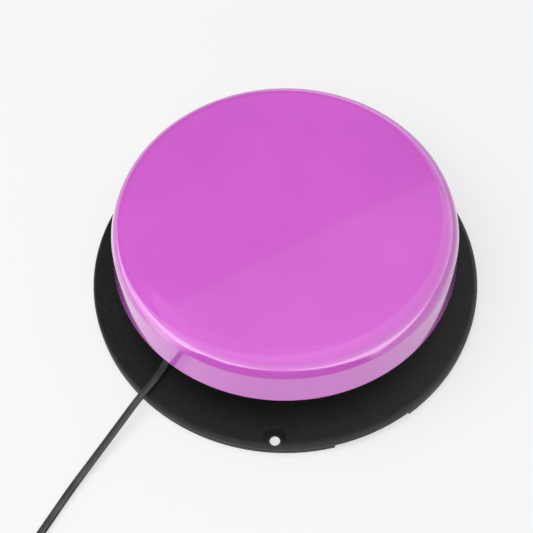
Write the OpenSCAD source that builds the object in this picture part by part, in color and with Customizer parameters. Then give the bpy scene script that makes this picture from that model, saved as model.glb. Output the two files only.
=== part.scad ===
// Large round press switch on a wide screw-down base, with a thin cord and a small plug.
// A dish-shaped cap slides down on three guide posts against three springs, and its
// middle stem works a snap switch through a lever.
// Origin: centre of the base, on the surface that it stands on. +Z is up.
// The front, -Y, is the side with the first mounting hole.

/* [Cap] */
// Outer diameter of the cap at its lower rim
cap_d = 125; // [116:1:130]
// Height from the lower rim to the edge of the top face
cap_h = 21; // [20.4:0.1:25]
// Wall thickness of the cap
cap_wall = 2.4; // [1.8:0.1:2.6]
// Slope of the skirt from upright, in degrees
cap_draft = 7; // [5:0.1:9]
// Height of the skirt from the lower rim to its edge line
skirt_h = 13.5; // [12:0.1:14]
// Slope of the band above the skirt from upright, in degrees
band_slope = 20; // [14:0.5:24]
// Radius of the rounded shoulder above the band
shoulder_r = 8; // [5:0.1:8.4]
// Rise of the shallow crown at the middle of the top face
crown_rise = 0.5; // [0.2:0.1:1.2]
// Height of the rim above the flange when the cap is up
rim_gap = 15.7; // [15:0.1:18]
// Distance that the cap travels when it is pressed
cap_travel = 2; // [1.5:0.1:2.2]
// Number of stiffening ribs under the top face
cap_ribs = 6; // [3:1:12]
// Thickness of a stiffening rib
cap_rib_t = 1.6; // [1:0.1:2.4]
// Depth of a stiffening rib
cap_rib_h = 2.4; // [1.5:0.1:3]

/* [Base] */
// Outer diameter of the base
base_d = 145.2; // [142:0.2:160]
// Thickness of the bottom plate
plate_t = 2; // [1.8:0.1:3]
// Thickness of the flange of the shell
flange_t = 3; // [2.6:0.1:4]
// Radius of the flange's upper edge
flange_edge_r = 2; // [1:0.1:2.4]
// Size of the small bevels at the seam between shell and plate
seam_bevel = 0.3; // [0.1:0.05:0.5]
// Outer diameter of the raised housing under the cap
housing_d = 100; // [98:0.5:104]
// Height of the housing above the flange
housing_h = 23.3; // [22.5:0.1:23.6]
// Wall thickness of the housing
housing_wall = 2.5; // [2:0.1:3]
// Thickness of the deck on top of the housing
deck_t = 2.5; // [2:0.1:2.8]
// Bevel around the housing's upper edge
housing_bevel = 1.5; // [0.5:0.1:2]

/* [Mounting holes] */
// Number of mounting holes
mount_count = 3; // [2:1:4]
// Distance from the base's rim to the middle of a mounting hole
mount_inset = 4.2; // [4.1:0.1:6]
// Diameter of a mounting hole
mount_hole_d = 3.6; // [3.2:0.1:4.2]
// Diameter of the countersink at the flange's face
mount_head_d = 7.7; // [6.8:0.1:7.8]
// Straight length of hole under the countersink
mount_land = 0.8; // [0.5:0.1:1.2]

/* [Notch in the bottom plate] */
// Direction in which the notch starts, in degrees from +X
notch_start = -73.5; // [-76:0.5:-66]
// Width of the notch, in degrees
notch_sweep = 23; // [15:0.5:26]
// Depth of the notch from the rim
notch_depth = 4; // [3:0.1:5]

/* [Feet] */
// Number of rubber feet
foot_count = 4; // [3:1:6]
// Diameter of a foot
foot_d = 12; // [10:0.5:14]
// Thickness of a foot
foot_t = 1.5; // [1.2:0.1:1.8]
// Height that a foot stands out of the bottom plate
foot_proud = 0.5; // [0.4:0.05:0.8]
// Distance from the base's rim to the middle of a foot
foot_inset = 12.6; // [11:0.1:15]

/* [Guides and springs] */
// Diameter of the circle of guide posts
guide_pcd = 60; // [56:0.5:64]
// Diameter of a guide post
post_d = 7; // [6:0.1:7.5]
// Running clearance around a guide post, on the radius
guide_clearance = 0.05; // [0.02:0.01:0.08]
// Outer diameter of a guide sleeve
sleeve_d = 11; // [10:0.1:12]
// Length of a guide sleeve below the deck's upper face
guide_len = 11; // [10:0.1:12]
// Diameter of the boss that a spring pushes on
boss_d = 14; // [13:0.1:15]
// Length of a spring when the cap is up
spring_len = 8; // [7.5:0.1:8.4]
// Wire diameter of a spring
spring_wire_d = 0.9; // [0.7:0.05:1]
// Gap between a guide post and its spring, on the radius
spring_slack = 1.05; // [0.6:0.05:1.2]
// Number of turns in a spring
spring_turns = 5; // [4:1:6]
// Outer diameter of a retaining washer
washer_d = 11; // [9:0.5:12]
// Thickness of a retaining washer
washer_t = 1; // [0.8:0.1:1.2]
// Gap between a retaining washer and its sleeve when the cap is up
washer_gap = 0.1; // [0.05:0.05:0.3]

/* [Stop pads] */
// Diameter of a rubber stop pad
pad_d = 9; // [7:0.5:10]
// Thickness of a stop pad
pad_t = 1.5; // [1:0.1:1.8]
// Diameter of the circle of stop pads
pad_pcd = 80; // [76:1:84]
// Gap left above a stop pad when the cap is fully down
pad_gap = 0.05; // [0.02:0.01:0.1]

/* [Screws] */
// Thread diameter of the larger screws
screw_d = 2.9; // [2.5:0.1:3.2]
// Head diameter of the larger screws
screw_head_d = 5.6; // [5:0.1:6]
// Head height of the larger screws
screw_head_h = 1.7; // [1.4:0.1:2]
// Length of the screws that hold the bottom plate
plate_screw_l = 12; // [8:0.5:16]
// Length of the screws that hold the retaining washers
retaining_screw_l = 10; // [8:0.5:14]
// Diameter of the circle of bottom plate screws
screw_pcd = 84; // [80:0.5:86]
// Diameter of the bosses for the bottom plate screws
screw_boss_d = 7; // [6:0.1:8]
// Thread diameter of the smaller screws
small_screw_d = 2.2; // [1.8:0.1:2.2]
// Head diameter of the smaller screws
small_head_d = 3.8; // [3.4:0.1:4.2]
// Head height of the smaller screws
small_head_h = 1.3; // [1:0.1:1.5]
// Length of the smaller screws
small_screw_l = 8.5; // [8:0.1:9]
// Clearance around a screw's thread, on the radius
thread_clearance = 0.02; // [0.01:0.01:0.05]

/* [Snap switch] */
// Length of the switch case
case_l = 19.8; // [19.4:0.1:20.4]
// Width of the switch case
case_w = 6.4; // [6:0.1:6.8]
// Height of the switch case
case_h = 10.2; // [9.8:0.1:10.4]
// Height from the deck's lower face down to the top of the case
case_drop = 5.8; // [5.6:0.1:6.4]
// Distance between the two fixing holes of the case
case_hole_gap = 9.5; // [9:0.1:10]
// Height of the fixing holes above the underside of the case
case_hole_z = 2.9; // [2.4:0.1:3.4]
// Distance from the end of the case to the lever's pivot
pivot_inset = 1.8; // [1.5:0.1:2.2]
// Height of the pivot above the case
pivot_z = 1.2; // [1.1:0.05:1.5]
// Diameter of the pivot pin
pin_d = 1; // [0.8:0.05:1.2]
// Outer diameter of the lever's rolled eye
eye_d = 2; // [1.8:0.05:2.1]
// Running clearance in the lever's eye, on the radius
eye_clearance = 0.03; // [0.02:0.01:0.05]
// Length of the lever from its pivot
lever_l = 18; // [16:0.1:18.5]
// Width of the lever
lever_w = 4; // [3.6:0.1:4.2]
// Thickness of the lever
lever_t = 0.5; // [0.3:0.05:0.6]
// Slope of the lever when the cap is up, in degrees
lever_slope = 11; // [10.5:0.1:11.5]
// Distance from the pivot to the cap's stem
press_arm = 13; // [12.6:0.1:13.4]
// Distance from the pivot to the switch plunger
plunger_arm = 5; // [4.6:0.1:5.4]
// Diameter of the switch plunger
plunger_d = 2; // [1.6:0.1:2.2]
// Length of the plunger inside the case
plunger_depth = 2.2; // [2:0.1:2.6]
// Running clearance around the plunger, on the radius
plunger_clearance = 0.05; // [0.02:0.01:0.08]
// Diameter of the stem under the middle of the cap
stem_d = 4; // [3.5:0.1:4.5]
// Diameter of the hole for the stem in the deck
stem_hole_d = 9; // [7:0.5:11]
// Gap between the stem and the lever, and between the lever and the plunger
touch_gap = 0.12; // [0.08:0.01:0.2]
// Distance between the terminals
terminal_gap = 7.9; // [7:0.1:8.2]
// Width of a terminal
terminal_w = 3.2; // [2.8:0.1:3.6]
// Thickness of a terminal
terminal_t = 0.5; // [0.4:0.05:0.6]
// Length of a terminal below the case
terminal_l = 3.9; // [3.4:0.1:4.2]
// Length of a terminal inside the case
terminal_root = 1.5; // [1:0.1:1.8]
// Thickness of the bracket that holds the switch
bracket_t = 3; // [2.6:0.1:3.5]
// Gap between the switch case and its bracket
bracket_gap = 0.05; // [0.02:0.01:0.1]

/* [Cord] */
// Diameter of the cord
cord_d = 2.6; // [2.4:0.05:2.7]
// Height of the cord's outlet above the flange
outlet_rise = 3.5; // [3.3:0.1:4]
// Diameter of the grommet's neck in the housing wall
grommet_d = 5; // [4.6:0.1:5.4]
// Diameter of the grommet's collars
grommet_collar_d = 6.6; // [6:0.1:6.8]
// Thickness of a grommet collar
grommet_collar_t = 1; // [0.8:0.1:1.2]
// Distance from the housing's inner wall to the middle of the cord clamp
clamp_inset = 7.5; // [7:0.1:8.5]
// Length of the clamp bar along the cord
clamp_w = 6; // [5:0.1:6.5]
// Width of the clamp bar across the cord
clamp_l = 17; // [16:0.5:18]
// Thickness of the clamp bar
clamp_t = 2; // [1.6:0.1:2.2]
// Distance between the two clamp screws
clamp_screw_gap = 12; // [11:0.1:12.5]
// Diameter of the two inner leads
lead_d = 1.1; // [0.9:0.1:1.3]
// Spacing of the turns in the cord's coil
turn_pitch = 2.7; // [2.65:0.05:2.9]
// Mean radius of the cord's coil
coil_r = 13.8; // [13.4:0.1:14.2]
// Thickness of the tie's strap
tie_t = 0.6; // [0.5:0.05:0.8]
// Angle that the tie's strap covers on the coil, in degrees
tie_sweep = 14; // [10:1:18]
// Gap between the strap and the coil
tie_gap = 0.05; // [0.02:0.01:0.1]

/* [Plug] */
// Diameter of the plug's grip
grip_d = 8.6; // [8:0.1:9]
// Length of the plug's grip
grip_l = 20; // [18:0.5:22]
// Length of the plug's flexible tail
tail_l = 10; // [8:0.5:12]
// Diameter of the flexible tail at the grip
tail_d = 5; // [4.5:0.1:5.6]
// Diameter of the metal collar in front of the grip
collar_d = 6.4; // [6:0.1:7]
// Length of the metal collar
collar_l = 1.2; // [1:0.1:1.6]
// Length of the sleeve contact
sleeve_contact_l = 9.2; // [8.6:0.1:9.4]
// Width of the insulating ring
ring_l = 1; // [0.8:0.1:1.2]
// Length of the tip contact
tip_l = 3.8; // [3.4:0.1:4]
// Diameter of the neck that carries the tip
neck_d = 1.6; // [1.4:0.1:1.8]

/* [Hidden] */
$fn = 96;

// Directions of the three guides, in degrees from +X; screws and pads lie between them
guide_angles = [90, 210, 330];
first_mount_angle = -90;
first_foot_angle = 45;

// Heights of the base
plate_z = foot_proud;
flange_z = plate_z + plate_t;
flange_top = flange_z + flange_t;
deck_top = flange_top + housing_h;
deck_bottom = deck_top - deck_t;
housing_r = housing_d / 2;
housing_inner_r = housing_r - housing_wall;
base_r = base_d / 2;
mount_pcd = base_d - 2 * mount_inset;
foot_pcd = base_d - 2 * foot_inset;

// Cap profile: a sloping skirt, then a band that leans in more, a round shoulder and a shallow
// crown. A reach is the distance of a sloping wall from the origin, along its normal.
cap_r = cap_d / 2;
rim_z = flange_top + rim_gap;
shoulder_z = rim_z + cap_h - shoulder_r;
skirt_reach = cap_r * cos(cap_draft) + rim_z * sin(cap_draft);
band_reach = (cap_r - skirt_h * tan(cap_draft)) * cos(band_slope)
    + (rim_z + skirt_h) * sin(band_slope);
shoulder_x = (band_reach - shoulder_r - shoulder_z * sin(band_slope)) / cos(band_slope);
crown_r = (pow(shoulder_x, 2) + pow(shoulder_r + crown_rise, 2) - pow(shoulder_r, 2))
    / (2 * crown_rise);
crown_z = shoulder_z + shoulder_r + crown_rise - crown_r;
crown_edge = atan2(shoulder_z - crown_z, shoulder_x);
ceiling_z = rim_z + cap_h - cap_wall;
root_z = ceiling_z + crown_rise + 0.3;

// Guides
spring_seat_z = deck_top + spring_len;
spring_mean_d = post_d + spring_wire_d + 2 * spring_slack;
sleeve_z = deck_top - guide_len;
post_z = sleeve_z - washer_gap;
pad_boss_z = deck_top + pad_t + cap_travel + pad_gap;
spring_end_gap = 0.02;

// Snap switch, below the deck, with the cap's stem on the middle of the base
case_top = deck_bottom - case_drop;
case_bottom = case_top - case_h;
pivot_x = -press_arm;
pivot_h = case_top + pivot_z;
case_x = pivot_x - pivot_inset;
case_mid_x = case_x + case_l / 2;
plunger_x = pivot_x + plunger_arm;
lever_half = lever_t / 2 / cos(lever_slope);
plunger_top = pivot_h + plunger_arm * tan(lever_slope) - lever_half
    - plunger_d / 2 * tan(lever_slope) - touch_gap;
stem_ball_z = pivot_h + press_arm * tan(lever_slope) + lever_half
    + (stem_d / 2 + touch_gap) / cos(lever_slope);
lug_gap = 0.2;
screw_hole_slack = 0.05;

// Cord, in the directions of its outlet and of its coil
outlet_angle = -134;
outlet_z = flange_top + outlet_rise;
cord_r = cord_d / 2;
wall_fit = 0.15;
saddle_w = clamp_w + 2.5;
saddle_l = clamp_l + 1;
saddle_h = small_screw_l - clamp_t;
web_w = 4;
clamp_r = housing_inner_r - clamp_inset;
cord_start_r = clamp_r - clamp_w;
lead_offset = 0.65;
coil_centre = [-70.6, -133.5, 0];
coil_columns = 4;
coil_rows = 4;
coil_half = (coil_columns - 1) / 2 * turn_pitch + cord_r;
coil_z = tie_t;
coil_top = coil_z + (coil_rows - 1) * turn_pitch + cord_d;
tie_angle = 40;
plug_axis = [-45.6, -147.8, grip_d / 2];
contact_d = 3.5;

function polar(r, a, z = 0) = [r * cos(a), r * sin(a), z];
function arc(cx, cy, r, a0, a1, n) =
    [for (i = [0:n]) let (a = a0 + (a1 - a0) * i / n) [cx + r * cos(a), cy + r * sin(a)]];
function bevelled_box(x0, x1, y0, y1, b) = [
    [x0 + b, y0], [x1 - b, y0], [x1, y0 + b], [x1, y1 - b],
    [x1 - b, y1], [x0 + b, y1], [x0, y1 - b], [x0, y0 + b]
];

// The stretch of cord that is not coiled: from the clamp, out through the grommet, over the
// flange and its rim, and along the table to the coil
cord_route = [
    polar(cord_start_r, outlet_angle, outlet_z), polar(clamp_r, outlet_angle, outlet_z),
    polar(housing_r - 3, outlet_angle, outlet_z), polar(housing_r + 1.5, outlet_angle, outlet_z),
    polar(housing_r + 3, outlet_angle, outlet_z), [-38.6, -41.2, flange_top + 2.6],
    [-40.8, -45.8, flange_top + cord_r + 0.2], [-43.5, -51, flange_top + cord_r + 0.08],
    [-46.4, -55.5, flange_top + cord_r], [-49.2, -59.8, 6.2], [-53, -66, 5.1],
    [-56.9, -72.3, 3.9], [-62, -80.6, 2.5], [-66.8, -88.8, 1.6], [-71, -97.1, cord_r + 0.05],
    [-74, -103.2, cord_r + 0.05], [-77.6, -110.3, cord_r + 0.1], [-81.6, -117.3, 1.7],
    [-83.9, -121.1, 1.85]
];
// The free end, from the coil's upper outer turn down to the plug's tail
end_route = [
    [-65.6, -150.9, coil_top - cord_r - 0.4], [-60.6, -149.9, 7.2], [-55.6, -148.8, 5.6],
    [-51.6, -148, 4.7], [-48.6, -147.8, grip_d / 2], plug_axis
];

function blend_point(a, b, c, d, t) = 0.5 * (2 * b + (c - a) * t
    + (2 * a - 5 * b + 4 * c - d) * t * t + (3 * b - a - 3 * c + d) * t * t * t);
function smooth_route(p, n) = [
    for (i = [0:len(p) - 2]) for (k = [0:n - 1])
        blend_point(p[max(i - 1, 0)], p[i], p[i + 1], p[min(i + 2, len(p) - 1)], k / n),
    p[len(p) - 1]
];
function unit(v) = v / norm(v);
function heading(p, i) = unit(p[min(i + 1, len(p) - 1)] - p[max(i - 1, 0)]);

// Round bar swept along a route that never runs straight up
module swept_bar(p, d, sides) {
    points = [
        for (i = [0:len(p) - 1])
            let (t = heading(p, i), s = unit(cross(t, [0, 0, 1])), u = cross(s, t))
            for (k = [0:sides - 1])
                let (a = 360 * k / sides) p[i] + d / 2 * (s * cos(a) + u * sin(a))
    ];
    last = (len(p) - 1) * sides;
    sides_of_bar = [
        for (i = [0:len(p) - 2]) for (k = [0:sides - 1])
            let (a = i * sides + k, b = i * sides + (k + 1) % sides)
            [a, a + sides, b + sides, b]
    ];
    first_end = [[for (k = [0:sides - 1]) k]];
    last_end = [[for (k = [sides - 1:-1:0]) last + k]];
    polyhedron(points, concat(sides_of_bar, first_end, last_end));
}

// Places its children at each of the given directions on a circle
module on_circle(pcd, angles) {
    for (a = angles) rotate(a) translate([pcd / 2, 0, 0]) children();
}

// Directions midway between the guides
between_angles = [for (a = guide_angles) a - 60];
mount_angles = [for (i = [0:mount_count - 1]) first_mount_angle + 360 * i / mount_count];
foot_angles = [for (i = [0:foot_count - 1]) first_foot_angle + 360 * i / foot_count];

// Pan-head screw along -Z from the underside of its head at z = 0
module pan_screw(d, l, head_d, head_h) {
    edge = head_h * 0.35;
    rotate_extrude() polygon([
        [0, -l], [d / 2 - 0.4, -l], [d / 2, -l + 0.6], [d / 2, 0], [head_d / 2, 0],
        [head_d / 2, head_h - edge], [head_d / 2 - edge, head_h], [0, head_h]
    ]);
}

// Cross-shaped drive recess, cut downwards from z = 0
module cross_recess(w, depth) {
    for (a = [0, 90]) rotate(a)
        translate([-w / 2, -w / 8, -depth]) cube([w, w / 4, depth + 1]);
}

module drive_screw(d, l, head_d, head_h) {
    difference() {
        pan_screw(d, l, head_d, head_h);
        translate([0, 0, head_h]) cross_recess(head_d * 0.55, head_h * 0.5);
    }
}

// Outer or inner outline of the cap; wall is taken off all round
module cap_outline(wall, z0) {
    skirt = skirt_reach - wall;
    band = band_reach - wall;
    turn = sin(band_slope - cap_draft);
    polygon(concat(
        [[0, z0], [(skirt - z0 * sin(cap_draft)) / cos(cap_draft), z0],
            [(skirt * sin(band_slope) - band * sin(cap_draft)) / turn,
                (band * cos(cap_draft) - skirt * cos(band_slope)) / turn]],
        arc(shoulder_x, shoulder_z, shoulder_r - wall, band_slope, crown_edge, 10),
        arc(0, crown_z, crown_r - wall, crown_edge, 90, 12)
    ));
}

module cap() {
    color([0.78, 0.30, 0.76]) union() {
        rotate_extrude($fn = 180) difference() {
            cap_outline(0, rim_z);
            cap_outline(cap_wall, rim_z - 1);
        }
        on_circle(guide_pcd, guide_angles) difference() {
            union() {
                translate([0, 0, spring_seat_z])
                    cylinder(d = boss_d, h = root_z - spring_seat_z);
                translate([0, 0, post_z])
                    cylinder(d = post_d, h = root_z - post_z);
            }
            translate([0, 0, post_z - 1])
                cylinder(r = screw_d / 2 + thread_clearance, h = retaining_screw_l + 1);
        }
        on_circle(pad_pcd, between_angles) translate([0, 0, pad_boss_z])
            cylinder(d = pad_d - 1, h = root_z - pad_boss_z);
        translate([0, 0, stem_ball_z]) {
            cylinder(d = stem_d, h = root_z - stem_ball_z);
            sphere(d = stem_d, $fn = 48);
        }
        translate([0, 0, deck_top + cap_travel + 1.2])
            cylinder(d = stem_hole_d - 1, h = root_z - deck_top - cap_travel - 1.2);
        for (i = [0:cap_ribs - 1]) rotate(360 * i / cap_ribs)
            translate([2, -cap_rib_t / 2, ceiling_z - cap_rib_h])
                cube([shoulder_x - 2, cap_rib_t, cap_rib_h + root_z - ceiling_z]);
    }
}

// Cuts for the mounting holes: a countersink that runs down to a short straight hole
module mount_holes() {
    land_top = plate_z + mount_land;
    widening = (mount_head_d - mount_hole_d) / 2 / (flange_top - land_top);
    on_circle(mount_pcd, mount_angles) rotate_extrude($fn = 64) polygon([
        [0, plate_z - 1], [mount_hole_d / 2, plate_z - 1], [mount_hole_d / 2, land_top],
        [mount_head_d / 2 + widening, flange_top + 1], [0, flange_top + 1]
    ]);
}

module base_shell() {
    color([0.13, 0.13, 0.135]) difference() {
        union() {
            rotate_extrude($fn = 180) polygon(concat(
                [[housing_inner_r, flange_z], [base_r - seam_bevel, flange_z],
                    [base_r, flange_z + seam_bevel]],
                arc(base_r - flange_edge_r, flange_top - flange_edge_r, flange_edge_r, 0, 90, 8),
                [[housing_r, flange_top], [housing_r, deck_top - housing_bevel],
                    [housing_r - housing_bevel, deck_top], [0, deck_top], [0, deck_bottom],
                    [housing_inner_r, deck_bottom]]
            ));
            on_circle(guide_pcd, guide_angles) translate([0, 0, sleeve_z])
                cylinder(d = sleeve_d, h = guide_len - 0.2);
            on_circle(screw_pcd, between_angles) translate([0, 0, flange_z])
                cylinder(d = screw_boss_d, h = deck_bottom + 0.2 - flange_z);
            translate([case_x - 1, case_w / 2 + bracket_gap, case_bottom])
                cube([case_l + 2, bracket_t, deck_bottom + 0.2 - case_bottom]);
            rotate(outlet_angle) saddle();
        }
        on_circle(guide_pcd, guide_angles) translate([0, 0, sleeve_z - 1])
            cylinder(r = post_d / 2 + guide_clearance, h = guide_len + 2);
        on_circle(screw_pcd, between_angles) translate([0, 0, flange_z - 1])
            cylinder(r = screw_d / 2 + thread_clearance, h = plate_screw_l + 1);
        translate([0, 0, deck_bottom - 1]) cylinder(d = stem_hole_d, h = deck_t + 2);
        for (s = [-1, 1])
            translate([case_mid_x + s * case_hole_gap / 2, 0, case_bottom + case_hole_z])
                rotate([-90, 0, 0])
                    cylinder(r = small_screw_d / 2 + thread_clearance, h = case_w + bracket_t);
        rotate(outlet_angle) translate([housing_inner_r - 2, 0, outlet_z])
            rotate([0, 90, 0]) cylinder(d = grommet_d, h = housing_wall + 4);
        rotate(outlet_angle) for (s = [-1, 1])
            translate([clamp_r, s * clamp_screw_gap / 2, outlet_z + cord_r - 1])
                cylinder(r = small_screw_d / 2 + thread_clearance, h = saddle_h);
        mount_holes();
    }
}

// Block that the clamp presses the cord against, joined to the wall by two webs
module saddle() {
    z = outlet_z + cord_r;
    translate([clamp_r - saddle_w / 2, -saddle_l / 2, z]) cube([saddle_w, saddle_l, saddle_h]);
    for (s = [-1, 1])
        translate([clamp_r, s * (saddle_l - web_w) / 2 - web_w / 2, z])
            cube([housing_inner_r + 0.5 - clamp_r, web_w, saddle_h]);
}

module bottom_plate() {
    color([0.11, 0.11, 0.115]) difference() {
        rotate_extrude($fn = 180) polygon([
            [0, plate_z], [base_r - seam_bevel, plate_z], [base_r, plate_z + seam_bevel],
            [base_r, flange_z - seam_bevel], [base_r - seam_bevel, flange_z], [0, flange_z]
        ]);
        rotate(notch_start) rotate_extrude(angle = notch_sweep)
            translate([base_r - notch_depth, plate_z - 1])
                square([notch_depth + 2, plate_t + 2]);
        on_circle(foot_pcd, foot_angles) translate([0, 0, plate_z - 1])
            cylinder(d = foot_d + 0.1, h = foot_t - foot_proud + 1);
        on_circle(screw_pcd, between_angles) {
            translate([0, 0, plate_z - 1]) cylinder(d = screw_d + 0.3, h = plate_t + 2);
            translate([0, 0, plate_z - 1]) cylinder(d = screw_head_d + 0.4, h = 1 + plate_t / 2);
        }
        mount_holes();
    }
}

module rubber_feet() {
    edge = 0.25;
    color([0.2, 0.2, 0.2]) on_circle(foot_pcd, foot_angles) rotate_extrude() polygon([
        [0, 0], [foot_d / 2 - edge, 0], [foot_d / 2, edge], [foot_d / 2, foot_t], [0, foot_t]
    ]);
}

// Screws that hold the plate; their flat heads sit in its counterbores
module plate_screws() {
    head_z = plate_z + plate_t / 2;
    head_h = plate_t / 2 - 0.2;
    color([0.55, 0.56, 0.58]) on_circle(screw_pcd, between_angles) translate([0, 0, head_z])
        mirror([0, 0, 1]) drive_screw(screw_d, plate_screw_l, screw_head_d, head_h);
}

// Compression spring with closed end turns, standing on the deck around its post
module return_spring(angle) {
    steps = 18;
    z0 = deck_top + spring_end_gap + spring_wire_d / 2;
    z1 = spring_seat_z - spring_end_gap - spring_wire_d / 2;
    closed = spring_wire_d * 1.08;
    open = (z1 - z0 - 2 * closed) / (spring_turns - 2);
    route = [
        for (i = [0:spring_turns * steps])
            let (n = i / steps)
            polar(spring_mean_d / 2, 360 * n, n < 1 ? z0 + closed * n
                : n < spring_turns - 1 ? z0 + closed + open * (n - 1)
                : z1 - closed * (spring_turns - n))
    ];
    color([0.75, 0.76, 0.78]) rotate(angle) translate([guide_pcd / 2, 0, 0])
        swept_bar(route, spring_wire_d, 6);
}
module return_spring_rear() { return_spring(guide_angles[0]); }
module return_spring_left() { return_spring(guide_angles[1]); }
module return_spring_right() { return_spring(guide_angles[2]); }

module stop_pads() {
    edge = 0.3;
    color([0.25, 0.25, 0.26]) on_circle(pad_pcd, between_angles) translate([0, 0, deck_top])
        rotate_extrude() polygon([
            [0, 0], [pad_d / 2, 0], [pad_d / 2, pad_t - edge], [pad_d / 2 - edge, pad_t],
            [0, pad_t]
        ]);
}

module retaining_washers() {
    color([0.78, 0.79, 0.8]) on_circle(guide_pcd, guide_angles)
        translate([0, 0, post_z - washer_t]) difference() {
            cylinder(d = washer_d, h = washer_t);
            translate([0, 0, -1]) cylinder(d = screw_d + 0.3, h = washer_t + 2);
        }
}

module retaining_screws() {
    color([0.55, 0.56, 0.58]) on_circle(guide_pcd, guide_angles)
        translate([0, 0, post_z - washer_t]) mirror([0, 0, 1])
            drive_screw(screw_d, retaining_screw_l, screw_head_d, screw_head_h);
}

module switch_case() {
    lug_y = lever_w / 2 + lug_gap;
    lug_t = case_w / 2 - lug_y;
    lug_r = pin_d / 2 + 0.6;
    color([0.1, 0.1, 0.11]) difference() {
        union() {
            translate([case_x, -case_w / 2, case_bottom]) cube([case_l, case_w, case_h]);
            for (s = [-1, 1]) translate([pivot_x, s * (lug_y + lug_t / 2), pivot_h]) {
                rotate([90, 0, 0]) cylinder(r = lug_r, h = lug_t, center = true);
                translate([-lug_r, -lug_t / 2, -pivot_z - 0.2])
                    cube([2 * lug_r, lug_t, pivot_z + 0.2]);
            }
        }
        translate([pivot_x, 0, pivot_h]) rotate([90, 0, 0])
            cylinder(r = pin_d / 2 + thread_clearance, h = case_w + 2, center = true);
        translate([plunger_x, 0, case_top - plunger_depth - cap_travel / 2])
            cylinder(r = plunger_d / 2 + plunger_clearance, h = plunger_depth + cap_travel);
        for (s = [-1, 1])
            translate([case_mid_x + s * case_hole_gap / 2, 0, case_bottom + case_hole_z])
                rotate([90, 0, 0])
                    cylinder(r = small_screw_d / 2 + screw_hole_slack, h = case_w + 2,
                        center = true);
        for (i = [-1:1]) translate([case_mid_x + i * terminal_gap, 0, case_bottom])
            cube([terminal_t + 0.04, terminal_w + 0.04, 2 * terminal_root + 0.04],
                center = true);
    }
}

module switch_lever() {
    eye_r = pin_d / 2 + eye_clearance;
    color([0.8, 0.81, 0.82]) translate([pivot_x, 0, pivot_h]) rotate([0, -lever_slope, 0])
        difference() {
            union() {
                rotate([90, 0, 0]) cylinder(d = eye_d, h = lever_w, center = true);
                translate([0, -lever_w / 2, -lever_t / 2]) cube([lever_l, lever_w, lever_t]);
            }
            rotate([90, 0, 0]) cylinder(r = eye_r, h = lever_w + 2, center = true);
        }
}

module lever_pin() {
    color([0.7, 0.71, 0.72]) translate([pivot_x, 0, pivot_h]) rotate([90, 0, 0])
        cylinder(d = pin_d, h = case_w, center = true);
}

module switch_plunger() {
    z = case_top - plunger_depth;
    color([0.75, 0.12, 0.1]) translate([plunger_x, 0, z])
        cylinder(d = plunger_d, h = plunger_top - z);
}

module switch_terminals() {
    color([0.8, 0.78, 0.7]) for (i = [-1:1])
        translate([case_mid_x + i * terminal_gap, 0, case_bottom]) difference() {
            translate([-terminal_t / 2, -terminal_w / 2, -terminal_l])
                cube([terminal_t, terminal_w, terminal_l + terminal_root]);
            translate([0, 0.4, -terminal_l + 1]) rotate([0, 90, 0])
                cylinder(d = 1, h = terminal_t + 2, center = true);
        }
}

module switch_screws() {
    color([0.7, 0.71, 0.72]) for (s = [-1, 1])
        translate([case_mid_x + s * case_hole_gap / 2, -case_w / 2, case_bottom + case_hole_z])
            rotate([90, 0, 0])
                drive_screw(small_screw_d, small_screw_l, small_head_d, small_head_h);
}

// One inner lead, from the cord's end to the side of a terminal
module lead(side, terminal) {
    inward = polar(1, outlet_angle + 180);
    across = polar(1, outlet_angle + 90);
    from = polar(cord_start_r - 0.1, outlet_angle, outlet_z) + side * lead_offset * across;
    x = case_mid_x + terminal * terminal_gap - terminal_t / 2 - lead_d / 2 - 0.03;
    to = [x, terminal_w / 2 - 0.6, case_bottom - terminal_l + lead_d];
    route = [
        from, from + 2.5 * inward, (from + to - [0, 7, 0]) / 2 + [0, -1.5, -0.4],
        to - [0, 6, 0], to - [0, 3, 0], to
    ];
    swept_bar(smooth_route(route, 3), lead_d, 8);
}
module lead_common() { color([0.75, 0.1, 0.1]) lead(-1, -1); }
module lead_open() { color([0.85, 0.85, 0.85]) lead(1, 0); }

// Rubber bush in the housing wall, with a collar on each side
module cord_grommet() {
    outer_x = housing_r + 0.02;
    inner_x = housing_inner_r - wall_fit;
    color([0.16, 0.16, 0.165]) rotate(outlet_angle) translate([0, 0, outlet_z])
        rotate([0, 90, 0]) difference() {
            union() {
                translate([0, 0, inner_x - grommet_collar_t])
                    cylinder(d = grommet_collar_d, h = grommet_collar_t);
                translate([0, 0, inner_x - 0.2])
                    cylinder(d = grommet_d - 0.06, h = outer_x - inner_x + 0.4);
                translate([0, 0, outer_x])
                    cylinder(d = grommet_collar_d, h = grommet_collar_t);
            }
            translate([0, 0, inner_x - 3]) cylinder(r = cord_r + 0.02, h = housing_wall + 6);
        }
}

module cord_clamp() {
    z = outlet_z - cord_r - clamp_t;
    color([0.85, 0.85, 0.82]) rotate(outlet_angle) difference() {
        translate([clamp_r - clamp_w / 2, -clamp_l / 2, z]) cube([clamp_w, clamp_l, clamp_t]);
        for (s = [-1, 1]) translate([clamp_r, s * clamp_screw_gap / 2, z - 1])
            cylinder(r = small_screw_d / 2 + screw_hole_slack, h = clamp_t + 2);
    }
}

module clamp_screws() {
    z = outlet_z - cord_r - clamp_t;
    color([0.7, 0.71, 0.72]) rotate(outlet_angle) for (s = [-1, 1])
        translate([clamp_r, s * clamp_screw_gap / 2, z]) mirror([0, 0, 1])
            drive_screw(small_screw_d, small_screw_l, small_head_d, small_head_h);
}

module cord() {
    color([0.14, 0.14, 0.145]) swept_bar(smooth_route(cord_route, 2), cord_d, 8);
}

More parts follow.
